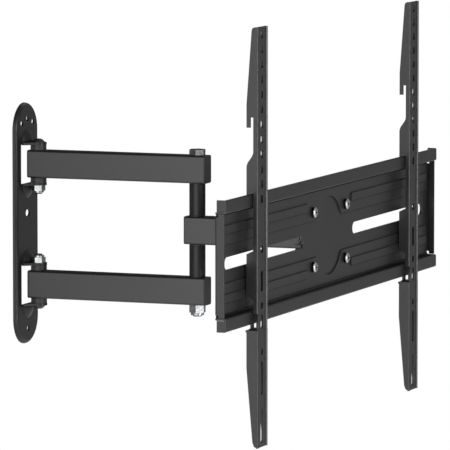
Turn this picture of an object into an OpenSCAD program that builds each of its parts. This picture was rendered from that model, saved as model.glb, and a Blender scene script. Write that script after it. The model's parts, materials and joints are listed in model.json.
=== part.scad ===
// Full motion television wall mount: a wall plate, a pair of first arms, a second arm,
// a swivel and tilt head, and a stamped plate that carries two hooked TV brackets.
// Millimetres. X to the right, Z up, the wall is the plane Y = 0 and the television is towards -Y.

/* [Wall plate] */
// Width of the wall plate
plate_w = 60; // [52:1:80]
// Height of the wall plate, end to end
plate_h = 263; // [240:1:320]
// How far the front face of the wall plate stands off the wall
plate_stand = 5.2; // [4.9:0.1:8]
// Sheet thickness of the wall plate and its ears
plate_t = 2.5; // [1.5:0.1:3]
// Radius of the rounded front edge of the wall plate
plate_edge_r = 4.6; // [3.2:0.1:4.6]
// Distance between the top and bottom wall holes
wall_hole_pitch = 229; // [200:1:236]
// Diameter of the top and bottom wall holes
wall_hole_d = 7; // [5:0.5:9]
// Distance between the two slots beside the top wall hole
side_slot_pitch = 30; // [26:1:32]
// Width of the small wall slots
side_slot_w = 6; // [4:0.5:7]
// Length of the small wall slots
side_slot_l = 8; // [7:0.5:10]

/* [Ears and wall pivots] */
// How far the wall pivots stand in front of the wall plate
pivot_stand = 12.6; // [12:0.1:16]
// Radius of the rounded ear tips
ear_tip_r = 9; // [8:0.1:10]
// Width of each ear where it leaves the wall plate
ear_root_w = 36; // [30:1:42]
// Radius of the domed boss above each ear
boss_r = 14.5; // [11:0.5:15]
// Thread diameter of the wall pivot and tilt bolts
pivot_bolt_d = 8; // [6:0.5:9]
// Outer diameter of the pivot bushings and post spacer tubes
bushing_d = 17.4; // [15:0.1:19]
// Height of the wall pivot bushings outside the arm
bushing_h = 5.8; // [4:0.1:8]
// Radial clearance of a shaft that turns in its bore
running_gap = 0.05; // [0.02:0.01:0.1]
// Radial clearance of a bolt in its through hole
bolt_gap = 0.25; // [0.1:0.05:0.5]

/* [Arms] */
// Width of the rectangular arm tubes
arm_w = 20; // [18:0.5:22]
// Height of the rectangular arm tubes
arm_h = 30; // [24:0.5:36]
// Wall thickness of the arm tubes
tube_t = 2; // [1.5:0.1:2.5]
// Outer corner radius of the arm tubes
tube_r = 2.5; // [2.1:0.1:4]
// Distance between the centre lines of the upper and lower arm
arm_pitch = 131.2; // [109:0.2:138]
// Length of the first arms, pivot to pivot
first_arm_l = 185; // [154:1:260]
// Length of the second arm, post to swivel pin
second_arm_l = 122.4; // [102:0.2:200]
// How far the first arms pass the wall pivots
wall_end = 9.5; // [9.2:0.1:10]
// How far the arms pass the post
post_end = 12; // [11:0.1:16]
// Thread diameter of the post bolt and the swivel bolt
post_bolt_d = 10; // [8:0.5:11]

/* [Swivel and tilt head] */
// Sheet thickness of the swivel yoke
yoke_t = 2.5; // [2:0.1:3]
// Inner distance between the two tilt ears of the yoke
yoke_inner_w = 55; // [52:1:64]
// How far the tilt axis stands in front of the swivel axis
tilt_lead = 6; // [5.5:0.1:6.5]
// Sheet thickness of the tilt bracket
tilt_t = 3; // [2:0.1:3.5]
// Thickness of the friction washers at the tilt axis
washer_t = 1; // [0.5:0.1:2]
// Horizontal distance between the bolts that hold the TV plate
plate_bolt_x = 100; // [90:1:110]
// Vertical distance between the bolts that hold the TV plate
plate_bolt_z = 58; // [54:1:62]
// Thread diameter of the TV plate bolts
plate_bolt_d = 6; // [5:0.5:8]

/* [TV plate] */
// Overall length of the TV plate
tray_l = 655; // [546:1:786]
// Overall height of the TV plate, rail edge to rail edge
tray_h = 133.4; // [131:0.1:160]
// How far the front of the rails stands ahead of the panel
rail_lead = 10; // [9:0.1:12]
// Height of each rail
rail_h = 13.9; // [13.5:0.1:16]
// Sheet thickness of the TV plate
tray_t = 2; // [1.5:0.1:2.4]
// Distance from the centre to the inner end of each long slot
slot_inner = 76.5; // [70:0.5:90]
// Height of the long slots
slot_h = 12.8; // [9:0.1:14]
// Half height of the middle band that is pressed back
band_half = 20; // [17:0.5:21]
// Radius of the round centre area that is pressed back
disc_r = 42; // [39:0.5:44]
// Depth of one pressed step
step_h = 1.2; // [0.5:0.1:1.2]

/* [TV brackets] */
// Height of the TV brackets
bracket_h = 430; // [420:1:516]
// Height of the top of the TV brackets above the centre line
bracket_top = 236; // [230:1:260]
// Width of the TV brackets
bracket_w = 29.8; // [24:0.1:31]
// Full depth of the bracket flanges
flange_full = 12.5; // [12.3:0.1:13]
// Depth of the bracket flanges at the top end
flange_top = 7; // [6:0.1:9]
// Sheet thickness of the TV brackets
bracket_t = 2; // [1.5:0.1:2.2]
// Depth of the pressed channel along the bracket face
channel_h = 1.2; // [0.5:0.1:1.5]
// Distance from the centre to the left bracket as it hangs
left_x = 237.9; // [110:0.1:300]
// Distance from the centre to the right bracket as it hangs
right_x = 234.3; // [110:0.1:300]
// Width of the screw slots in the bracket face
face_slot_w = 7; // [6:0.1:8]
// Length of the short screw slots
face_slot_l = 9; // [7:0.5:12]
// Distance between the short screw slots
face_slot_pitch = 15.3; // [13:0.05:18]
// Thread diameter of the locking screws
lock_d = 4; // [3:0.5:4.5]

/* [Hidden] */
$fn = 48;

eps = 0.01;
// Places along Y
plate_y = -plate_stand;
pivot_y = plate_y - pivot_stand;
post_y = pivot_y - first_arm_l;
swivel_y = post_y - second_arm_l;
tilt_y = swivel_y - tilt_lead;
// Arms and their pivots
arm_z = arm_pitch / 2;
ear_gap = arm_h + 2 * bushing_h;
window_w = ear_root_w + 0.4;
ear_bend = 2;
window_h = ear_gap + 2 * plate_t + 2 * ear_bend;
bushing_neck_d = arm_w - 2 * tube_t - 3;
bushing_neck_h = tube_t;
cap_t = 1.2;
cap_plug = 1.5;
// The second arm turns on thin flanges between the post spacer tubes
post_flange_t = 1.5;
post_flange_gap = 0.1;
spacer_l = arm_z - arm_h - post_flange_t - post_flange_gap;
// Bolts and nuts, sized from their thread diameters
small_af = pivot_bolt_d * 1.625;
small_nut_h = pivot_bolt_d;
small_head_d = pivot_bolt_d * 1.75;
small_head_h = pivot_bolt_d * 0.55;
big_af = post_bolt_d * 1.6;
big_head_h = post_bolt_d * 0.64;
big_nut_h = post_bolt_d * 1.1;
plate_head_d = plate_bolt_d * 1.87;
plate_head_h = plate_bolt_d * 0.67;
plate_nut_af = plate_bolt_d * 1.667;
plate_nut_h = plate_bolt_d * 0.85;
thread_out = 1.5;
// Swivel yoke: two plates hold the end of the second arm
swivel_flange_t = 0.7;
swivel_flange_gap = 0.1;
swivel_end = 8;
yoke_clear = 0.7;
yoke_z = arm_h / 2 + swivel_flange_t + swivel_flange_gap;
yoke_web_back = min(swivel_y - norm([swivel_end, arm_w / 2]), tilt_y - small_head_d / 2) - yoke_clear;
yoke_web_front = yoke_web_back - yoke_t;
yoke_tip_r = 10;
yoke_ear_r = 8;
yoke_ear_x = yoke_inner_w / 2;
// Tilt bracket: flat against the back of the TV plate, its ears outside those of the yoke
tilt_ear_x = yoke_ear_x + yoke_t + washer_t;
tilt_ear_r = 9;
tilt_gap = 1.1;
tilt_reach = norm([tilt_y - yoke_web_front, yoke_z + yoke_t]);
tilt_max = 15;
tilt_plate_back = tilt_y - tilt_gap
    - (tilt_y - yoke_web_front) * cos(tilt_max) - (yoke_z + yoke_t) * sin(tilt_max);
tilt_plate_margin = 12;
// TV plate: panel, shelves and rails
panel_back = tilt_plate_back - tilt_t;
panel_front = panel_back - tray_t;
rail_front = panel_front - rail_lead;
rail_top = tray_h / 2;
shelf_in = rail_top - rail_h;
shelf_bend = 3;
side_flange_half = shelf_in - 0.5;
side_flange_front = rail_front + tray_t + 0.2;
tab_gap = 0.4;
tab_bottom = shelf_in + tray_t + tab_gap;
corner_relief = 3;
slot_outer = tray_l / 2 - 22;
pad_end = tray_l / 2 - 9;
pad_top = shelf_in - shelf_bend;
rib_low = 31;
rib_high = 39;
rib_inner = plate_bolt_x / 2 + 17;
rib_outer = tray_l / 2 - 12;
corner_r = 8;
// TV brackets: d is the depth behind the bracket face, z the height
bracket_lead = 6;
bracket_face = rail_front - bracket_lead;
hang_gap = 0.2;
hook_slot_w = tray_t + 1.2;
flange_thin = bracket_lead - 0.8;
hook_in = flange_thin + hook_slot_w;
hook_l = 10.4;
hook_z = rail_top + hang_gap;
spare_hook_z = hook_z + 77.5;
notch_low = 5;
clear_z = -shelf_in + 15;
cut_top = -rail_top + 11;
cut_bottom = -rail_top - 6.4;
bracket_bottom = bracket_top - bracket_h;
taper_top = spare_hook_z + 13.5;
taper_low = cut_bottom - 38.5;
flange_bottom = 6;
lock_y = tray_t + bracket_lead + 1.8 + lock_d / 2;
tab_back = flange_full + 1.4;
lug_r = lock_d / 2 + 1.5;
lock_tip = cut_top - 1;
lock_head_d = lock_d * 2;
lock_head_h = lock_d * 0.7;
// Screw slots of a bracket: centre height and length
short_slots = [for (i = [0 : 11]) bracket_top - 7.4 - i * face_slot_pitch];
face_hole_z = 9;
face_hole_d = 8;
long_slots = [[-23.5, 22], [-48.5, 7.5], [-65, 15], [-95.5, 7.5], [-122.5, 36], [-172, 36]];

// A rectangle with round corners, centred
module round_rect(w, h, r) {
    square([w - 2 * r, h], center = true);
    square([w, h - 2 * r], center = true);
    for (x = [-1, 1], y = [-1, 1])
        translate([x * (w / 2 - r), y * (h / 2 - r)]) circle(r = r);
}

// A slot with round ends, its length along the second axis
module slot(w, l) {
    square([w, l - w], center = true);
    for (y = [-1, 1]) translate([0, y * (l - w) / 2]) circle(d = w);
}

// Extrudes an outline drawn in X and Z towards the television, starting at y
module forward(y, l) {
    translate([0, y, 0]) rotate([90, 0, 0]) linear_extrude(l) children();
}

// Extrudes an outline drawn in Y and Z along X, starting at x
module sideways(x, l) {
    translate([x, 0, 0]) rotate([90, 0, 90]) linear_extrude(l) children();
}

module hex(af, h) {
    cylinder(d = af / cos(30), h = h, $fn = 6);
}

// A nut with a plain seat and a round locking collar on top
module lock_nut(af, d, h) {
    difference() {
        union() {
            hex(af, h * 0.75);
            cylinder(d = af * 0.9, h = h);
        }
        translate([0, 0, -1]) cylinder(d = d + 2 * running_gap, h = h + 2);
    }
}

// A low domed head with a hexagon socket, seated on z = 0
module button_head(d, h, socket) {
    dome_r = (d * d / 4 + h * h) / (2 * h);
    difference() {
        intersection() {
            translate([0, 0, h - dome_r]) sphere(r = dome_r);
            cylinder(d = d, h = h);
        }
        translate([0, 0, h * 0.45]) hex(socket, h);
    }
}

// A bushing with a flange below z = 0 and a neck above it
module flanged_bushing(flange_d, flange_h, neck_d, neck_h, bore_d) {
    difference() {
        union() {
            translate([0, 0, -flange_h]) cylinder(d = flange_d, h = flange_h);
            cylinder(d = neck_d, h = neck_h);
        }
        translate([0, 0, -flange_h - 1]) cylinder(d = bore_d, h = flange_h + neck_h + 2);
    }
}

// A rectangular tube from y_back towards the television, with a hole through it at each pivot
module arm_tube(y_back, y_front, holes) {
    difference() {
        forward(y_back, y_back - y_front) difference() {
            round_rect(arm_w, arm_h, tube_r);
            round_rect(arm_w - 2 * tube_t, arm_h - 2 * tube_t, tube_r - tube_t + 0.5);
        }
        for (hole = holes)
            translate([0, hole[0], -arm_h]) cylinder(d = hole[1], h = 2 * arm_h);
    }
}

// A plastic plug: a face the size of the tube and a shorter part inside it; way is 1 towards the wall
module tube_cap(y, way) {
    inner_w = arm_w - 2 * tube_t;
    inner_h = arm_h - 2 * tube_t;
    forward(way > 0 ? y + cap_t : y, cap_t) round_rect(arm_w, arm_h, tube_r);
    forward(way > 0 ? y : y + cap_plug, cap_plug) difference() {
        round_rect(inner_w - 0.2, inner_h - 0.2, tube_r - tube_t + 0.4);
        round_rect(inner_w - 4, inner_h - 4, 0.5);
    }
}

// A shallow dish with round ends and a rounded front edge, its open back on the wall
module dish(w, h, depth, r) {
    mid_h = h - w;
    for (z = [-1, 1]) translate([0, 0, z * mid_h / 2]) rotate([90, 0, 0])
        rotate_extrude($fn = 96) half_section(w / 2, depth, r);
    translate([0, 0, -mid_h / 2]) linear_extrude(mid_h) for (x = [0, 1]) mirror([x, 0])
        mirror([0, 1]) half_section(w / 2, depth, r);
}

module half_section(half_w, depth, r) {
    square([half_w - r, depth]);
    square([half_w, depth - r]);
    translate([half_w - r, depth - r]) intersection() {
        circle(r = r);
        square(r + 1);
    }
}

// The ear is a tongue bent forward out of the plate to carry one side of a pivot.
// Its lower face is at z = 0, and the plate goes on above it.
module ear() {
    bend_y = plate_y - ear_bend;
    difference() {
        intersection() {
            sideways(-ear_root_w / 2, ear_root_w) {
                translate([pivot_y - ear_tip_r, 0]) square([bend_y - pivot_y + ear_tip_r, plate_t]);
                translate([bend_y, plate_t + ear_bend]) difference() {
                    circle(r = ear_bend + plate_t);
                    circle(r = ear_bend);
                    translate([-2 * ear_bend - 2 * plate_t, -2 * ear_bend - 2 * plate_t])
                        square([2 * ear_bend + 2 * plate_t, 4 * ear_bend + 4 * plate_t]);
                    square([2 * ear_bend + 2 * plate_t, 2 * ear_bend + 2 * plate_t]);
                }
            }
            translate([0, 0, -1]) linear_extrude(2 * plate_t + ear_bend + 2) {
                polygon([
                    [-ear_root_w / 2, 0], [ear_root_w / 2, 0], [ear_root_w / 2, bend_y],
                    [ear_tip_r, pivot_y], [-ear_tip_r, pivot_y], [-ear_root_w / 2, bend_y]
                ]);
                translate([0, pivot_y]) circle(r = ear_tip_r);
            }
        }
        translate([0, pivot_y, -1]) cylinder(d = pivot_bolt_d + 2 * bolt_gap, h = plate_t + 2);
    }
}

// A domed boss pressed forward where the plate meets the ear, from the ear's upper face
module boss() {
    rise = pivot_stand - small_head_d / 2 - 0.6;
    dome_r = (boss_r * boss_r + rise * rise) / (2 * rise);
    intersection() {
        translate([0, plate_y + dome_r - rise, plate_t]) sphere(r = dome_r, $fn = 96);
        translate([-boss_r, plate_y - rise, plate_t / 2])
            cube([2 * boss_r, rise + plate_t / 2, boss_r + plate_t]);
    }
}

module wall_plate() {
    color([0.16, 0.16, 0.17]) {
        difference() {
            dish(plate_w, plate_h, plate_stand, plate_edge_r);
            translate([0, eps, 0]) dish(plate_w - 2 * plate_t, plate_h - 2 * plate_t,
                plate_stand - plate_t + eps, plate_edge_r - plate_t);
            for (s = [-1, 1])
                forward(1, plate_stand + 2) translate([0, s * arm_z]) square([window_w, window_h], center = true);
            for (s = [-1, 1])
                forward(1, plate_stand + 2) translate([0, s * wall_hole_pitch / 2]) circle(d = wall_hole_d);
            for (s = [-1, 1])
                forward(1, plate_stand + 2) translate([s * side_slot_pitch / 2, wall_hole_pitch / 2 - 4.6])
                    rotate(90) slot(side_slot_w, side_slot_l);
            forward(1, plate_stand + 2) translate([0, 11.5]) rotate(90) slot(7.5, 12);
        }
        for (s = [-1, 1], side = [0, 1]) translate([0, 0, s * arm_z]) mirror([0, 0, side])
            translate([0, 0, ear_gap / 2]) {
                ear();
                boss();
            }
    }
}

// The upper bolt goes in from above and the lower bolt from below, so the two nuts face each other
module wall_pivot_bolts() {
    shank_l = ear_gap + 2 * plate_t + small_nut_h + thread_out;
    color([0.16, 0.16, 0.17]) for (s = [0, 1]) mirror([0, 0, s])
        translate([0, pivot_y, arm_z + ear_gap / 2 + plate_t]) {
            button_head(small_head_d, small_head_h, 5);
            translate([0, 0, -shank_l]) cylinder(d = pivot_bolt_d, h = shank_l);
        }
}

module wall_pivot_nuts() {
    color([0.72, 0.72, 0.73]) for (s = [0, 1]) mirror([0, 0, s])
        translate([0, pivot_y, arm_z - ear_gap / 2 - plate_t])
            rotate([180, 0, 0]) rotate(12) lock_nut(small_af, pivot_bolt_d, small_nut_h);
}

module wall_pivot_bushings() {
    color([0.08, 0.08, 0.08]) for (s = [-1, 1], side = [0, 1])
        translate([0, pivot_y, s * arm_z]) mirror([0, 0, side]) translate([0, 0, -arm_h / 2])
            flanged_bushing(bushing_d, bushing_h, bushing_neck_d, bushing_neck_h,
                pivot_bolt_d + 2 * running_gap);
}

module first_arm(s) {
    color([0.3, 0.3, 0.31]) translate([0, 0, s * arm_z])
        arm_tube(pivot_y + wall_end - cap_t, post_y - post_end + cap_t, [
            [pivot_y, bushing_neck_d], [post_y, post_bolt_d + 2 * bolt_gap]
        ]);
}

module upper_arm() { first_arm(1); }

module lower_arm() { first_arm(-1); }

module arm_end_caps() {
    color([0.12, 0.12, 0.12]) for (s = [-1, 1]) translate([0, 0, s * arm_z]) {
        tube_cap(pivot_y + wall_end - cap_t, 1);
        tube_cap(post_y - post_end + cap_t, -1);
    }
}

module post_bolt() {
    shank_l = arm_pitch + arm_h + big_nut_h + thread_out;
    color([0.4, 0.4, 0.41]) translate([0, post_y, arm_z + arm_h / 2]) {
        rotate(9) hex(big_af, big_head_h);
        translate([0, 0, -shank_l]) cylinder(d = post_bolt_d, h = shank_l);
    }
}

module post_nut() {
    color([0.72, 0.72, 0.73]) translate([0, post_y, -arm_z - arm_h / 2])
        rotate([180, 0, 0]) rotate(-9) lock_nut(big_af, post_bolt_d, big_nut_h);
}

module post_spacer_tubes() {
    bottom = arm_h / 2 + post_flange_t + post_flange_gap;
    color([0.14, 0.14, 0.14]) for (s = [0, 1]) mirror([0, 0, s])
        translate([0, post_y, bottom]) difference() {
            cylinder(d = bushing_d, h = spacer_l);
            translate([0, 0, -1]) cylinder(d = post_bolt_d + 2 * bolt_gap, h = spacer_l + 2);
        }
}

module second_arm() {
    color([0.3, 0.3, 0.31]) arm_tube(post_y + post_end - cap_t, swivel_y - swivel_end + cap_t, [
        [post_y, bushing_neck_d], [swivel_y, bushing_neck_d]
    ]);
}

module second_arm_bushings(y, flange_t) {
    color([0.08, 0.08, 0.08]) for (side = [0, 1])
        translate([0, y, 0]) mirror([0, 0, side]) translate([0, 0, -arm_h / 2])
            flanged_bushing(bushing_d, flange_t, bushing_neck_d, bushing_neck_h,
                post_bolt_d + 2 * running_gap);
}

module second_arm_post_bushings() { second_arm_bushings(post_y, post_flange_t); }

module second_arm_swivel_bushings() { second_arm_bushings(swivel_y, swivel_flange_t); }

module second_arm_caps() {
    color([0.12, 0.12, 0.12]) {
        tube_cap(post_y + post_end - cap_t, 1);
        tube_cap(swivel_y - swivel_end + cap_t, -1);
    }
}

// Two plates hold the swivel bolt, a web joins them, and two ears carry the tilt bolts
module swivel_yoke() {
    outer_x = yoke_ear_x + yoke_t;
    color([0.16, 0.16, 0.17]) difference() {
        union() {
            for (z = [yoke_z, -yoke_z - yoke_t]) translate([0, 0, z]) linear_extrude(yoke_t) {
                polygon([
                    [-outer_x, yoke_web_front], [outer_x, yoke_web_front],
                    [outer_x, yoke_web_back], [yoke_tip_r, swivel_y],
                    [-yoke_tip_r, swivel_y], [-outer_x, yoke_web_back]
                ]);
                translate([0, swivel_y]) circle(r = yoke_tip_r);
            }
            translate([-outer_x, yoke_web_front, -yoke_z - yoke_t])
                cube([2 * outer_x, yoke_t, 2 * (yoke_z + yoke_t)]);
            for (x = [-outer_x, yoke_ear_x]) sideways(x, yoke_t) {
                translate([yoke_web_front, -yoke_ear_r]) square([tilt_y - yoke_web_front, 2 * yoke_ear_r]);
                translate([tilt_y, 0]) circle(r = yoke_ear_r);
            }
        }
        translate([0, swivel_y, -2 * yoke_z]) cylinder(d = post_bolt_d + 2 * bolt_gap, h = 4 * yoke_z);
        sideways(-outer_x - 1, 2 * outer_x + 2) translate([tilt_y, 0]) circle(d = pivot_bolt_d + 2 * bolt_gap);
    }
}

module swivel_bolt() {
    shank_l = 2 * (yoke_z + yoke_t) + big_nut_h + thread_out;
    color([0.72, 0.72, 0.73]) translate([0, swivel_y, yoke_z + yoke_t]) {
        hex(big_af, big_head_h);
        translate([0, 0, -shank_l]) cylinder(d = post_bolt_d, h = shank_l);
    }
}

module swivel_nut() {
    color([0.72, 0.72, 0.73]) translate([0, swivel_y, -yoke_z - yoke_t])
        rotate([180, 0, 0]) lock_nut(big_af, post_bolt_d, big_nut_h);
}

module tilt_bolts() {
    shank_l = yoke_t + washer_t + tilt_t + small_nut_h + thread_out;
    color([0.72, 0.72, 0.73]) for (s = [0, 1]) mirror([s, 0, 0])
        translate([yoke_ear_x, tilt_y, 0]) rotate([0, 90, 0]) {
            mirror([0, 0, 1]) button_head(small_head_d, small_head_h, 5);
            cylinder(d = pivot_bolt_d, h = shank_l);
        }
}

module tilt_nuts() {
    color([0.72, 0.72, 0.73]) for (s = [0, 1]) mirror([s, 0, 0])
        translate([tilt_ear_x + tilt_t, tilt_y, 0]) rotate([0, 90, 0])
            lock_nut(small_af, pivot_bolt_d, small_nut_h);
}

module tilt_washers() {
    color([0.08, 0.08, 0.08]) for (s = [0, 1]) mirror([s, 0, 0])
        sideways(yoke_ear_x + yoke_t, washer_t) translate([tilt_y, 0]) difference() {
            circle(r = yoke_ear_r - 0.5);
            circle(d = pivot_bolt_d + 2 * running_gap);
        }
}

module tilt_bracket() {
    plate_half_x = plate_bolt_x / 2 + tilt_plate_margin;
    plate_half_z = plate_bolt_z / 2 + tilt_plate_margin - 1;
    color([0.16, 0.16, 0.17]) difference() {
        union() {
            forward(tilt_plate_back, tilt_t) round_rect(2 * plate_half_x, 2 * plate_half_z, 6);
            for (x = [-tilt_ear_x - tilt_t, tilt_ear_x]) sideways(x, tilt_t) {
                translate([tilt_plate_back - eps, -tilt_ear_r])
                    square([tilt_y - tilt_plate_back + eps, 2 * tilt_ear_r]);
                translate([tilt_y, 0]) circle(r = tilt_ear_r);
            }
        }
        sideways(-plate_half_x, 2 * plate_half_x)
            translate([tilt_y, 0]) circle(d = pivot_bolt_d + 2 * running_gap);
        for (x = [-1, 1], z = [-1, 1]) forward(tilt_plate_back + 1, tilt_t + 2)
            translate([x * plate_bolt_x / 2, z * plate_bolt_z / 2]) circle(d = plate_bolt_d + 2 * bolt_gap);
    }
}

// One quarter of the area that stands one step ahead of the middle band
module pad_quarter() {
    difference() {
        translate([0, band_half]) square([pad_end, pad_top - band_half]);
        circle(r = disc_r);
        // the corner beside the bolt is rounded
        reach = sqrt((disc_r + corner_r) * (disc_r + corner_r) - (band_half + corner_r) * (band_half + corner_r));
        difference() {
            translate([0, band_half]) square([reach, corner_r]);
            translate([reach, band_half + corner_r]) circle(r = corner_r);
            translate([0, band_half + corner_r * 0.45]) square([reach, corner_r]);
        }
    }
}

module rib_outline() {
    r = 2;
    translate([(rib_inner + rib_outer) / 2, (rib_low + rib_high) / 2])
        round_rect(rib_outer - rib_inner, rib_high - rib_low, r);
}

// Repeats a quarter outline in all four quarters
module four_quarters() {
    for (x = [0, 1], z = [0, 1]) mirror([x, 0]) mirror([0, z]) children();
}

module tv_plate() {
    half_l = tray_l / 2;
    color([0.27, 0.27, 0.28]) difference() {
        union() {
            forward(panel_back, tray_t) square([tray_l, 2 * shelf_in], center = true);
            forward(panel_front + eps, step_h + eps) four_quarters() pad_quarter();
            forward(panel_front + eps, 2 * step_h + eps) four_quarters() rib_outline();
            for (s = [0, 1]) mirror([0, 0, s]) {
                // shelf, rail and the two tabs bent back at the ends of the rail
                translate([-half_l, rail_front, shelf_in])
                    cube([tray_l, panel_back - rail_front, tray_t]);
                translate([-half_l, rail_front, shelf_in]) cube([tray_l, tray_t, rail_h]);
                for (x = [-half_l, half_l - tray_t]) translate([x, rail_front, tab_bottom])
                    cube([tray_t, rail_lead, rail_top - tab_bottom]);
                // bend between the panel and the shelf
                sideways(-half_l + corner_relief, tray_l - 2 * corner_relief) difference() {
                    translate([panel_front - shelf_bend, shelf_in - shelf_bend])
                        square([shelf_bend + eps, shelf_bend + eps]);
                    translate([panel_front - shelf_bend, shelf_in - shelf_bend]) circle(r = shelf_bend);
                }
            }
            for (x = [-half_l, half_l - tray_t]) translate([x, side_flange_front, -side_flange_half])
                cube([tray_t, panel_back - side_flange_front, 2 * side_flange_half]);
        }
        // a small relief at each corner, where panel, side flange and shelf meet
        for (x = [-1, 1], z = [-1, 1]) forward(panel_back + 1, tray_t + corner_relief)
            translate([x * half_l, z * (shelf_in - corner_relief / 2 - 0.25)])
                square([2 * corner_relief, corner_relief + 0.5], center = true);
        for (s = [-1, 1]) forward(panel_back + 1, tray_t + 2)
            translate([s * (slot_inner + slot_outer) / 2, 0]) rotate(90) slot(slot_h, slot_outer - slot_inner);
        // the ribs are pressed out of the sheet, so they are hollow behind
        forward(panel_back + 1, 1 + 2 * step_h) four_quarters() intersection() {
            rib_outline();
            translate([rib_inner + tray_t, rib_low + tray_t])
                square([rib_outer - rib_inner - 2 * tray_t, rib_high - rib_low - 2 * tray_t]);
        }
        for (x = [-1, 1], z = [-1, 1]) forward(panel_back + 1, tray_t + step_h + 2)
            translate([x * plate_bolt_x / 2, z * plate_bolt_z / 2]) circle(d = plate_bolt_d + 2 * bolt_gap);
    }
}

// Screws with a round head and a cross recess, from the front through plate and tilt bracket
module plate_bolts() {
    seat = panel_front - step_h;
    grip = seat - tilt_plate_back;
    cross = plate_bolt_d * 0.55;
    color([0.72, 0.72, 0.73]) for (x = [-1, 1], z = [-1, 1])
        translate([x * plate_bolt_x / 2, seat, z * plate_bolt_z / 2]) rotate([90, 0, 0]) {
            difference() {
                union() {
                    cylinder(d = plate_head_d, h = plate_head_h * 0.7);
                    translate([0, 0, plate_head_h * 0.7])
                        cylinder(d1 = plate_head_d, d2 = plate_head_d * 0.72, h = plate_head_h * 0.3);
                }
                translate([0, 0, plate_head_h]) for (a = [0, 90]) rotate(a)
                    cube([2 * cross, cross * 0.4, plate_head_h * 1.1], center = true);
            }
            translate([0, 0, grip - plate_nut_h - thread_out])
                cylinder(d = plate_bolt_d, h = plate_nut_h + thread_out - grip);
        }
}

module plate_nuts() {
    color([0.72, 0.72, 0.73]) for (x = [-1, 1], z = [-1, 1])
        translate([x * plate_bolt_x / 2, tilt_plate_back, z * plate_bolt_z / 2]) rotate([-90, 0, 0])
            lock_nut(plate_nut_af, plate_bolt_d, plate_nut_h);
}

// Points of a smooth swing of the flange edge from depth d0 at z0 to depth d1 at z1
function swing(d0, z0, d1, z1) = [for (i = [0 : 8])
    [d0 + (d1 - d0) * (1 - cos(180 * i / 8)) / 2, z0 + (z1 - z0) * i / 8]];

// Side view of a bracket flange: depth behind the face, height
module flange_outline() {
    polygon(concat(
        [[0, bracket_top], [flange_top - 3, bracket_top], [flange_top - 0.9, bracket_top - 0.9],
         [flange_top, bracket_top - 3], [flange_full, taper_top],
         [flange_full, spare_hook_z - hook_l], [hook_in, spare_hook_z - hook_l],
         [hook_in, spare_hook_z], [flange_thin, spare_hook_z]],
        swing(flange_thin, spare_hook_z - 34.9, flange_full, spare_hook_z - 50.4),
        [[flange_full, hook_z - hook_l], [hook_in, hook_z - hook_l],
         [hook_in, hook_z], [flange_thin, hook_z],
         [flange_thin, notch_low + 3.5], [flange_full, notch_low],
         [flange_full, clear_z]],
        swing(flange_full, clear_z, flange_thin, clear_z - 4),
        [[flange_thin, cut_top], [channel_h + bracket_t, cut_top],
         [channel_h + bracket_t, cut_bottom], [flange_full, cut_bottom],
         [flange_full, taper_low], [flange_bottom, bracket_bottom + 6],
         [flange_bottom - 1.8, bracket_bottom + 1.8], [flange_bottom - 5, bracket_bottom],
         [0, bracket_bottom]]
    ));
}

// A pressed channel section with two flanges, hooks for the top rail and a shelf for the locking screw
module tv_bracket(x) {
    half_w = bracket_w / 2;
    shoulder = 2.5;
    slope = 1.2;
    color([0.27, 0.27, 0.28]) translate([x, bracket_face, 0]) difference() {
        union() {
            translate([0, 0, bracket_bottom]) linear_extrude(bracket_h) polygon([
                [-half_w, 0], [-half_w + shoulder, 0], [-half_w + shoulder + slope, channel_h],
                [half_w - shoulder - slope, channel_h], [half_w - shoulder, 0], [half_w, 0],
                [half_w, bracket_t], [half_w - shoulder, bracket_t],
                [half_w - shoulder - slope, channel_h + bracket_t],
                [-half_w + shoulder + slope, channel_h + bracket_t],
                [-half_w + shoulder, bracket_t], [-half_w, bracket_t]
            ]);
            for (side = [-half_w, half_w - bracket_t]) sideways(side, bracket_t) flange_outline();
            translate([-half_w + bracket_t / 2, channel_h + bracket_t / 2, cut_bottom - bracket_t])
                cube([bracket_w - bracket_t, tab_back - channel_h - bracket_t / 2, bracket_t]);
            translate([0, lock_y, cut_bottom - bracket_t]) cylinder(r = lug_r, h = bracket_t);
        }
        // the flanges are cut right through to the face beside the lower rail
        for (side = [-half_w - 1, half_w - bracket_t]) translate([side, -1, cut_bottom])
            cube([bracket_t + 1, flange_full, cut_top - cut_bottom]);
        for (z = short_slots) forward(flange_full, 2 * flange_full)
            translate([0, z]) slot(face_slot_w, face_slot_l);
        for (s = long_slots) forward(bracket_t + channel_h + 1, bracket_t + channel_h + 2)
            translate([0, s[0]]) slot(face_slot_w, s[1]);
        forward(flange_full, 2 * flange_full) translate([0, face_hole_z]) circle(d = face_hole_d);
        translate([0, lock_y, cut_bottom - bracket_t - 1])
            cylinder(d = lock_d + 2 * running_gap, h = bracket_t + 2);
    }
}

module left_tv_bracket() { tv_bracket(-left_x); }

module right_tv_bracket() { tv_bracket(right_x); }

// The screw stands up behind the lower rail and keeps the bracket from lifting off
module lock_screw(x) {
    seat = cut_bottom - bracket_t;
    color([0.1, 0.1, 0.1]) translate([x, bracket_face + lock_y, seat]) {
        cylinder(d = lock_d, h = lock_tip - seat);
        difference() {
            translate([0, 0, -lock_head_h]) cylinder(d = lock_head_d, h = lock_head_h);
            translate([0, 0, -lock_head_h]) for (a = [0, 90]) rotate(a)
                cube([lock_d, lock_d / 5, lock_head_h], center = true);
        }
    }
}

module left_lock_screw() { lock_screw(-left_x); }

module right_lock_screw() { lock_screw(right_x); }

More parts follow.
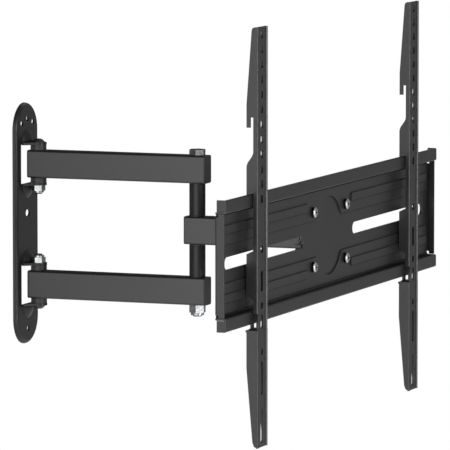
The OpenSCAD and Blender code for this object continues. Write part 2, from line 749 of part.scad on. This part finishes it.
wall_plate();
wall_pivot_bolts();
wall_pivot_nuts();
wall_pivot_bushings();
upper_arm();
lower_arm();
arm_end_caps();
post_bolt();
post_nut();
post_spacer_tubes();
second_arm();
second_arm_post_bushings();
second_arm_swivel_bushings();
second_arm_caps();
swivel_yoke();
swivel_bolt();
swivel_nut();
tilt_bolts();
tilt_nuts();
tilt_washers();
tilt_bracket();
tv_plate();
plate_bolts();
plate_nuts();
left_tv_bracket();
right_tv_bracket();
left_lock_screw();
right_lock_screw();
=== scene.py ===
import json
import math

import bmesh
import bpy
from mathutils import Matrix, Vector


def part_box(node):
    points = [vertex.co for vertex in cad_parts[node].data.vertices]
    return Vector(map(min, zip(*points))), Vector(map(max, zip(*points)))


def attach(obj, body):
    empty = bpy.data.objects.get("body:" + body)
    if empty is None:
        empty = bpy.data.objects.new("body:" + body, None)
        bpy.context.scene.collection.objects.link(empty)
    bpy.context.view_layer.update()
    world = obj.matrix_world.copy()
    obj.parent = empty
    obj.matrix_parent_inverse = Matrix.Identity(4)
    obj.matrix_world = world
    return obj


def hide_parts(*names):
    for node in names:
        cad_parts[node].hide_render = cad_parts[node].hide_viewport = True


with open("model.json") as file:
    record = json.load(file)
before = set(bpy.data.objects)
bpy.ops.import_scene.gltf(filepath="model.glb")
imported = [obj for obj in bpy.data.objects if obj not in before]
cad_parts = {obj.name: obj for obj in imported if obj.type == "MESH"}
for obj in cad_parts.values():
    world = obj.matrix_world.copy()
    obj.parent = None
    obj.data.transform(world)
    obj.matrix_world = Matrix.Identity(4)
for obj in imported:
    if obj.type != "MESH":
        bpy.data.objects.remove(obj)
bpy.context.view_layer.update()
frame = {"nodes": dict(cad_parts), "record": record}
nodes = frame["nodes"]


# ---------- finishes ----------

# Sizes here and below are in metres
CORNER_RUB = 0.0006
# How far the painted crease shade reaches
CREASE_SHADE_REACH = 0.0035
COAT_GRAIN = 1600


def new_material(name):
    mat = bpy.data.materials.new(name)
    mat.use_nodes = True
    tree = mat.node_tree
    shader = tree.nodes["Principled BSDF"]
    coords = tree.nodes.new("ShaderNodeTexCoord")
    return mat, tree, shader, coords.outputs["Object"]


def noise(tree, coords, scale, detail=3.0):
    tex = tree.nodes.new("ShaderNodeTexNoise")
    tex.inputs["Scale"].default_value = scale
    tex.inputs["Detail"].default_value = detail
    tex.inputs["Roughness"].default_value = 0.5
    tree.links.new(coords, tex.inputs["Vector"])
    return tex.outputs["Fac"]


def spread(tree, value, low, high, out_low, out_high):
    remap = tree.nodes.new("ShaderNodeMapRange")
    remap.inputs["From Min"].default_value = low
    remap.inputs["From Max"].default_value = high
    remap.inputs["To Min"].default_value = out_low
    remap.inputs["To Max"].default_value = out_high
    tree.links.new(value, remap.inputs["Value"])
    return remap.outputs["Result"]


def blend_colour(tree, factor, first, second):
    mix = tree.nodes.new("ShaderNodeMix")
    mix.data_type = "RGBA"
    mix.inputs["A"].default_value = (*first, 1)
    mix.inputs["B"].default_value = (*second, 1)
    tree.links.new(factor, mix.inputs["Factor"])
    return mix.outputs["Result"]


def worn_edges(tree):
    """One where the surface turns a corner, nought on the flat."""
    eased = tree.nodes.new("ShaderNodeBevel")
    eased.samples = 4
    eased.inputs["Radius"].default_value = CORNER_RUB
    geometry = tree.nodes.new("ShaderNodeNewGeometry")
    turn = tree.nodes.new("ShaderNodeVectorMath")
    turn.operation = "DOT_PRODUCT"
    tree.links.new(eased.outputs["Normal"], turn.inputs[0])
    tree.links.new(geometry.outputs["Normal"], turn.inputs[1])
    return spread(tree, turn.outputs["Value"], 0.97, 0.80, 0.0, 1.0)


def bumps(tree, shader, heights, strength, distance):
    bump = tree.nodes.new("ShaderNodeBump")
    bump.inputs["Strength"].default_value = strength
    bump.inputs["Distance"].default_value = distance
    tree.links.new(heights, bump.inputs["Height"])
    tree.links.new(bump.outputs["Normal"], shader.inputs["Normal"])


def powder_coat(name, colour, edge, rough_low, rough_high, shine):
    """Black satin powder coat: fine orange peel, edges rubbed lighter, and painted shade in creases, where
    the specular is turned down.
    """
    mat, tree, shader, coords = new_material(name)
    cloud = noise(tree, coords, 14, 2.0)
    speck = noise(tree, coords, COAT_GRAIN * 1.7, 2.0)
    dusty = tuple(min(1, c * 1.22) for c in colour)
    ground = blend_colour(tree, spread(tree, cloud, 0.35, 0.65, 0, 1), colour, dusty)
    mix = tree.nodes.new("ShaderNodeMix")
    mix.data_type = "RGBA"
    tree.links.new(worn_edges(tree), mix.inputs["Factor"])
    tree.links.new(ground, mix.inputs["A"])
    mix.inputs["B"].default_value = (*edge, 1)
    tree.links.new(mix.outputs["Result"], shader.inputs["Base Color"])
    tree.links.new(spread(tree, speck, 0.3, 0.7, rough_low, rough_high), shader.inputs["Roughness"])
    # Painted shade: specular falls where ambient occlusion finds a crease, so creases and the bases of
    # steps read darker
    crease_shade = tree.nodes.new("ShaderNodeAmbientOcclusion")
    crease_shade.samples = 6
    crease_shade.only_local = True
    crease_shade.inputs["Distance"].default_value = CREASE_SHADE_REACH
    tree.links.new(spread(tree, crease_shade.outputs["AO"], 0.70, 0.96, 0.02, shine),
                   shader.inputs["Specular IOR Level"])
    bumps(tree, shader, noise(tree, coords, COAT_GRAIN, 2.0), 0.16, 0.0003)
    return mat


def zinc_plate(name, light, dark, rough):
    """Bright zinc: thin turning marks, patches of duller plating."""
    mat, tree, shader, coords = new_material(name)
    patch = noise(tree, coords, 160, 3.0)
    stretch = tree.nodes.new("ShaderNodeMapping")
    stretch.inputs["Scale"].default_value = (240, 240, 2600)
    tree.links.new(coords, stretch.inputs["Vector"])
    marks = noise(tree, stretch.outputs["Vector"], 1.0, 2.0)
    colour = blend_colour(tree, spread(tree, patch, 0.3, 0.7, 0, 1), light, dark)
    tree.links.new(colour, shader.inputs["Base Color"])
    shader.inputs["Metallic"].default_value = 1.0
    tree.links.new(spread(tree, marks, 0.3, 0.7, rough, rough + 0.16), shader.inputs["Roughness"])
    bumps(tree, shader, marks, 0.12, 0.0002)
    return mat


def screw_head(name, side, face):
    """Black screws coloured by the way each face points: dark where a face points sideways, a bright plated
    colour where it points along -Y.
    """
    mat, tree, shader, coords = new_material(name)
    geometry = tree.nodes.new("ShaderNodeNewGeometry")
    facing = tree.nodes.new("ShaderNodeSeparateXYZ")
    tree.links.new(geometry.outputs["Normal"], facing.inputs["Vector"])
    # Colour chosen from the world-space normal: bright where a face points along -Y, dark elsewhere
    front = spread(tree, facing.outputs["Y"], -0.55, -0.85, 0.0, 1.0)
    wear = noise(tree, coords, 900, 2.0)
    worn = blend_colour(tree, spread(tree, wear, 0.3, 0.7, 0, 1), face, tuple(c * 0.7 for c in face))
    mix = tree.nodes.new("ShaderNodeMix")
    mix.data_type = "RGBA"
    tree.links.new(front, mix.inputs["Factor"])
    mix.inputs["A"].default_value = (*side, 1)
    tree.links.new(worn, mix.inputs["B"])
    tree.links.new(mix.outputs["Result"], shader.inputs["Base Color"])
    shader.inputs["Metallic"].default_value = 1.0
    tree.links.new(spread(tree, wear, 0.3, 0.7, 0.24, 0.4), shader.inputs["Roughness"])
    bumps(tree, shader, noise(tree, coords, 1800), 0.15, 0.0002)
    return mat


def moulded_plastic(name, colour):
    """Fine matt moulding texture with a faint mottle."""
    mat, tree, shader, coords = new_material(name)
    mottle = noise(tree, coords, 90, 2.0)
    pale = tuple(c * 1.35 for c in colour)
    tree.links.new(blend_colour(tree, spread(tree, mottle, 0.3, 0.7, 0, 1), colour, pale),
                   shader.inputs["Base Color"])
    tree.links.new(spread(tree, noise(tree, coords, 2600), 0.3, 0.7, 0.42, 0.6), shader.inputs["Roughness"])
    bumps(tree, shader, noise(tree, coords, 2200), 0.22, 0.0003)
    return mat


satin_black = powder_coat("satin_black", (0.008, 0.008, 0.0085), (0.06, 0.06, 0.062), 0.34, 0.46, 0.34)
plate_black = powder_coat("plate_black", (0.008, 0.008, 0.0085), (0.06, 0.06, 0.062), 0.32, 0.44, 0.48)
arm_black = powder_coat("arm_black", (0.009, 0.009, 0.0095), (0.06, 0.06, 0.062), 0.32, 0.44, 0.72)
cap_black = moulded_plastic("cap_black", (0.012, 0.012, 0.012))
bushing_black = moulded_plastic("bushing_black", (0.010, 0.010, 0.010))
zinc = zinc_plate("zinc", (0.44, 0.45, 0.46), (0.30, 0.31, 0.32), 0.26)
dull_zinc = zinc_plate("dull_zinc", (0.16, 0.16, 0.165), (0.11, 0.11, 0.115), 0.34)
screw_black = screw_head("screw_black", (0.03, 0.03, 0.03), (0.75, 0.76, 0.77))
black_oxide = powder_coat("black_oxide", (0.012, 0.012, 0.012), (0.10, 0.10, 0.10), 0.28, 0.4, 0.6)

NODE_FINISH = {
    "wall_plate": satin_black, "wall_pivot_bolts": black_oxide, "wall_pivot_nuts": zinc,
    "wall_pivot_bushings": bushing_black, "upper_arm": arm_black, "lower_arm": arm_black,
    "arm_end_caps": cap_black, "post_bolt": dull_zinc, "post_nut": zinc,
    "post_spacer_tubes": satin_black, "second_arm": arm_black,
    "second_arm_post_bushings": bushing_black, "second_arm_swivel_bushings": bushing_black,
    "second_arm_caps": cap_black, "swivel_yoke": satin_black, "swivel_bolt": zinc,
    "swivel_nut": zinc, "tilt_bolts": black_oxide, "tilt_nuts": black_oxide, "tilt_washers": bushing_black,
    "tilt_bracket": satin_black, "tv_plate": plate_black, "plate_bolts": screw_black, "plate_nuts": zinc,
    "left_tv_bracket": plate_black, "right_tv_bracket": plate_black,
    "left_lock_screw": black_oxide, "right_lock_screw": black_oxide,
}


# ---------- pieces ----------

BRACKET_BEND = 0.0019
PLATE_BEND = 0.0018
RAIL_HEIGHT = 0.0139
EDGE_SEGMENTS = 3
BEND_SEGMENTS = 4
EDGE_ANGLE = math.radians(28)
SHARP_ANGLE = math.radians(26)
FLAT_ANGLE = math.radians(0.6)


def set_finish(obj, mat):
    obj.data.materials.clear()
    obj.data.materials.append(mat)


def body_holding(node):
    for name, members in frame["record"]["behaviour"]["bodies"].items():
        if node in members:
            return name
    raise KeyError(node)


def applied(obj):
    """The mesh that an object's modifiers make; the modifiers are then taken off."""
    bpy.context.view_layer.update()
    mesh = bpy.data.meshes.new_from_object(obj.evaluated_get(bpy.context.evaluated_depsgraph_get()))
    obj.modifiers.clear()
    return mesh


def near(value, target):
    return abs(value - target) < 4e-5


def bends_of(node):
    """Says which edges of a node are bends of the sheet, and their outer radius in metres."""
    if node.endswith("tv_bracket"):
        low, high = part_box(node)

        def front_bend(a, b):
            return (near(a.y, low[1]) and near(b.y, low[1]) and abs(a.x - b.x) < 1e-5
                    and (near(a.x, low[0]) or near(a.x, high[0])))
        return BRACKET_BEND, front_bend
    if node == "tv_plate":
        low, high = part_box(node)
        shelf = high[2] - RAIL_HEIGHT

        def bend(a, b):
            if near(a.y, low[1]) and near(b.y, low[1]):
                if near(abs(a.z), shelf) and near(abs(b.z), shelf):
                    return True
                return near(abs(a.x), high[0]) and near(abs(b.x), high[0]) and abs(a.z) > shelf + 0.0015
            return (near(a.y, high[1]) and near(b.y, high[1]) and near(abs(a.x), high[0])
                    and near(abs(b.x), high[0]))
        return PLATE_BEND, bend
    return None, None


def refined(node, name, radius):
    """A copy of a node with its flat faces joined up, its sheet edges eased and its bends rounded."""
    source = nodes[node]
    mesh = bpy.data.meshes.new(name)
    work = bmesh.new()
    work.from_mesh(source.data)
    bmesh.ops.remove_doubles(work, verts=work.verts, dist=2e-6)
    bmesh.ops.dissolve_limit(work, angle_limit=FLAT_ANGLE, verts=work.verts, edges=work.edges)
    bend_radius, is_bend = bends_of(node)
    weight = work.edges.layers.float.new("bevel_weight_edge")
    for edge in work.edges:
        if is_bend and is_bend(edge.verts[0].co, edge.verts[1].co):
            edge[weight] = 1.0
    for face in work.faces:
        face.smooth = True
    work.to_mesh(mesh)
    work.free()
    mesh.materials.clear()
    mesh.materials.append(NODE_FINISH[node])
    obj = bpy.data.objects.new(name, mesh)
    bpy.context.scene.collection.objects.link(obj)
    if is_bend:
        bend = obj.modifiers.new("bends", "BEVEL")
        bend.width = bend_radius
        bend.segments = BEND_SEGMENTS
        bend.limit_method = "WEIGHT"
        bend.use_clamp_overlap = True
    bevel = obj.modifiers.new("rounded_edges", "BEVEL")
    bevel.width = radius
    bevel.segments = EDGE_SEGMENTS
    bevel.limit_method = "ANGLE"
    bevel.angle_limit = EDGE_ANGLE
    bevel.use_clamp_overlap = True
    bevel.miter_outer = "MITER_ARC"
    cut = applied(obj)
    if is_bend or node == "wall_plate":
        cut.set_sharp_from_angle(angle=SHARP_ANGLE)
    obj.data = cut
    smooth = obj.modifiers.new("flat_faces", "WEIGHTED_NORMAL")
    smooth.keep_sharp = True
    smooth.weight = 80
    obj.data = applied(obj)
    set_finish(obj, NODE_FINISH[node])
    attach(obj, body_holding(node))
    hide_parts(node)


for node, mat in NODE_FINISH.items():
    set_finish(nodes[node], mat)

# Radius of the eased edges of each node
EDGE = {
    "wall_plate": 0.0005, "wall_pivot_bolts": 0.0004, "wall_pivot_nuts": 0.0004,
    "wall_pivot_bushings": 0.0004, "arm_end_caps": 0.0004, "post_bolt": 0.0005, "post_nut": 0.0004,
    "post_spacer_tubes": 0.0003, "second_arm_post_bushings": 0.0003,
    "second_arm_swivel_bushings": 0.0002, "second_arm_caps": 0.0004,
    "swivel_yoke": 0.0006, "swivel_bolt": 0.0005, "swivel_nut": 0.0004,
    "tilt_bolts": 0.0004, "tilt_nuts": 0.0004, "tilt_washers": 0.0002, "tilt_bracket": 0.0007,
    "tv_plate": 0.00045, "plate_bolts": 0.0003, "plate_nuts": 0.0003,
    "left_tv_bracket": 0.0004, "right_tv_bracket": 0.0004,
    "left_lock_screw": 0.0002, "right_lock_screw": 0.0002,
    "upper_arm": 0.0003, "lower_arm": 0.0003, "second_arm": 0.0003,
}
for node, radius in EDGE.items():
    refined(node, node + "_finished", radius)


THREAD_PITCH = 0.0007
RIDGE_RADIUS = 0.00016
LOCK_HEAD = 0.0028
TIP_GAP = 0.0008


def thread_nodes():
    """A stack of ring ridges along a screw, built as a node tree with named inputs."""
    tree = bpy.data.node_groups.new("screw_thread", "GeometryNodeTree")
    face = tree.interface
    for title, kind in (("Turns", "Int"), ("Pitch", "Float"), ("Radius", "Float"), ("Ridge", "Float"),
                        ("Start", "Vector"), ("Finish", "Material")):
        face.new_socket(name=title, in_out="INPUT", socket_type="NodeSocket" + kind)
    face.new_socket(name="Geometry", in_out="OUTPUT", socket_type="NodeSocketGeometry")
    given = tree.nodes.new("NodeGroupInput")
    result = tree.nodes.new("NodeGroupOutput")
    step = tree.nodes.new("ShaderNodeCombineXYZ")
    tree.links.new(given.outputs["Pitch"], step.inputs["Z"])
    line = tree.nodes.new("GeometryNodeMeshLine")
    tree.links.new(given.outputs["Turns"], line.inputs["Count"])
    tree.links.new(given.outputs["Start"], line.inputs["Start Location"])
    tree.links.new(step.outputs["Vector"], line.inputs["Offset"])
    ring = tree.nodes.new("GeometryNodeCurvePrimitiveCircle")
    ring.inputs["Resolution"].default_value = 32
    tree.links.new(given.outputs["Radius"], ring.inputs["Radius"])
    crest = tree.nodes.new("GeometryNodeCurvePrimitiveCircle")
    crest.inputs["Resolution"].default_value = 6
    tree.links.new(given.outputs["Ridge"], crest.inputs["Radius"])
    sweep = tree.nodes.new("GeometryNodeCurveToMesh")
    tree.links.new(ring.outputs["Curve"], sweep.inputs["Curve"])
    tree.links.new(crest.outputs["Curve"], sweep.inputs["Profile Curve"])
    copies = tree.nodes.new("GeometryNodeInstanceOnPoints")
    tree.links.new(line.outputs["Mesh"], copies.inputs["Points"])
    tree.links.new(sweep.outputs["Mesh"], copies.inputs["Instance"])
    real = tree.nodes.new("GeometryNodeRealizeInstances")
    tree.links.new(copies.outputs["Instances"], real.inputs["Geometry"])
    paint = tree.nodes.new("GeometryNodeSetMaterial")
    tree.links.new(real.outputs["Geometry"], paint.inputs["Geometry"])
    tree.links.new(given.outputs["Finish"], paint.inputs["Material"])
    tree.links.new(paint.outputs["Geometry"], result.inputs["Geometry"])
    return tree


def screw_thread(node, tree):
    """Thread ridges up one locking screw, from its head to its tip."""
    low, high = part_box(node)
    shank = (high[0] - low[0]) / 4
    turns = int((high[2] - low[2] - LOCK_HEAD - TIP_GAP) / THREAD_PITCH)
    obj = bpy.data.objects.new(node + "_thread", bpy.data.meshes.new(node + "_thread"))
    bpy.context.scene.collection.objects.link(obj)
    stack = obj.modifiers.new("thread", "NODES")
    stack.node_group = tree
    key = {item.name: item.identifier for item in tree.interface.items_tree if item.in_out == "INPUT"}
    stack[key["Turns"]] = turns
    stack[key["Pitch"]] = THREAD_PITCH
    stack[key["Radius"]] = shank
    stack[key["Ridge"]] = RIDGE_RADIUS
    stack[key["Start"]] = ((low[0] + high[0]) / 2, (low[1] + high[1]) / 2,
                           low[2] + LOCK_HEAD + THREAD_PITCH / 2)
    stack[key["Finish"]] = NODE_FINISH[node]
    obj.data = applied(obj)
    set_finish(obj, NODE_FINISH[node])
    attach(obj, body_holding(node))


THREAD = thread_nodes()
for screw in ("left_lock_screw", "right_lock_screw"):
    screw_thread(screw, THREAD)


# ---------- studio ----------

DOME_BACK = 0.03
DOME_FRONT = 0.31
FLOOR_GLOW = 0.30
FLOOR_RADIUS = 2.4
FLOOR_PLACE = (0, -0.2, -0.62)
# name, place, aim, width, height, brightness
LAMPS = [
    ("window_left", (-2.4, -0.15, 0.0), (0, -0.2, 0), 2.1, 2.8, 2.7),
    ("window_front", (-0.95, -2.8, 0.25), (0, -0.35, 0), 0.7, 1.6, 16.0),
    ("window_back", (0.0, 2.8, 0.9), (0, -0.2, 0), 1.8, 1.4, 4.0),
    ("window_right", (2.4, -0.1, 1.8), (0, -0.2, 0), 1.2, 1.0, 1.6),
]


def area_light(name, place, aim, width, height, power):
    light = bpy.data.lights.new(name, "AREA")
    light.shape = "RECTANGLE"
    light.size = width
    light.size_y = height
    light.energy = power
    obj = bpy.data.objects.new(name, light)
    bpy.context.scene.collection.objects.link(obj)
    obj.location = place
    obj.rotation_euler = (Vector(aim) - Vector(place)).to_track_quat("-Z", "Y").to_euler()
    obj.visible_camera = False


def floor():
    """A pale disc well below the mount."""
    work = bmesh.new()
    bmesh.ops.create_circle(work, cap_ends=True, segments=96, radius=FLOOR_RADIUS)
    bmesh.ops.translate(work, verts=work.verts, vec=FLOOR_PLACE)
    mesh = bpy.data.meshes.new("studio_floor")
    work.to_mesh(mesh)
    work.free()
    obj = bpy.data.objects.new("studio_floor", mesh)
    bpy.context.scene.collection.objects.link(obj)
    mat, tree, shader, coords = new_material("studio_white")
    tree.links.new(blend_colour(tree, noise(tree, coords, 3), (0.88, 0.88, 0.88), (0.92, 0.92, 0.92)),
                   shader.inputs["Base Color"])
    shader.inputs["Roughness"].default_value = 0.8
    shader.inputs["Emission Color"].default_value = (1, 1, 1, 1)
    shader.inputs["Emission Strength"].default_value = FLOOR_GLOW
    mesh.materials.append(mat)


def studio():
    """White to the camera, and a dim soft dome with a few large lamps to everything else."""
    world = bpy.data.worlds.new("studio_air")
    bpy.context.scene.world = world
    world.use_nodes = True
    tree = world.node_tree
    dome = tree.nodes["Background"]
    dome.inputs["Color"].default_value = (1, 1, 1, 1)
    direction = tree.nodes.new("ShaderNodeTexCoord")
    parts = tree.nodes.new("ShaderNodeSeparateXYZ")
    tree.links.new(direction.outputs["Generated"], parts.inputs["Vector"])
    glow = spread(tree, parts.outputs["Y"], -0.2, 0.3, DOME_FRONT, DOME_BACK)
    tree.links.new(glow, dome.inputs["Strength"])
    sheet = tree.nodes.new("ShaderNodeBackground")
    sheet.inputs["Color"].default_value = (1, 1, 1, 1)
    sheet.inputs["Strength"].default_value = 1.0
    rays = tree.nodes.new("ShaderNodeLightPath")
    mix = tree.nodes.new("ShaderNodeMixShader")
    tree.links.new(rays.outputs["Is Camera Ray"], mix.inputs["Fac"])
    tree.links.new(dome.outputs["Background"], mix.inputs[1])
    tree.links.new(sheet.outputs["Background"], mix.inputs[2])
    tree.links.new(mix.outputs["Shader"], tree.nodes["World Output"].inputs["Surface"])
    for name, place, aim, width, height, brightness in LAMPS:
        area_light(name, place, aim, width, height, brightness * math.pi * width * height)
    view = bpy.context.scene.view_settings
    view.view_transform = "Standard"
    view.look = "None"


LENS = 409.59
CAMERA_PLACE = (-5.08532, -2.19759, 0.56100)
LOOK_DOWN = 5.81
LOOK_ASIDE = 68.895


def camera():
    data = bpy.data.cameras.new("camera")
    data.sensor_width = 36
    data.lens = LENS
    data.shift_x = -0.0006
    data.shift_y = 0.0003
    data.clip_start = 0.5
    data.clip_end = 100
    obj = bpy.data.objects.new("camera", data)
    bpy.context.scene.collection.objects.link(obj)
    obj.location = CAMERA_PLACE
    obj.rotation_euler = (math.radians(90 - LOOK_DOWN), 0, math.radians(-LOOK_ASIDE))
    bpy.context.scene.camera = obj


floor()
studio()
camera()
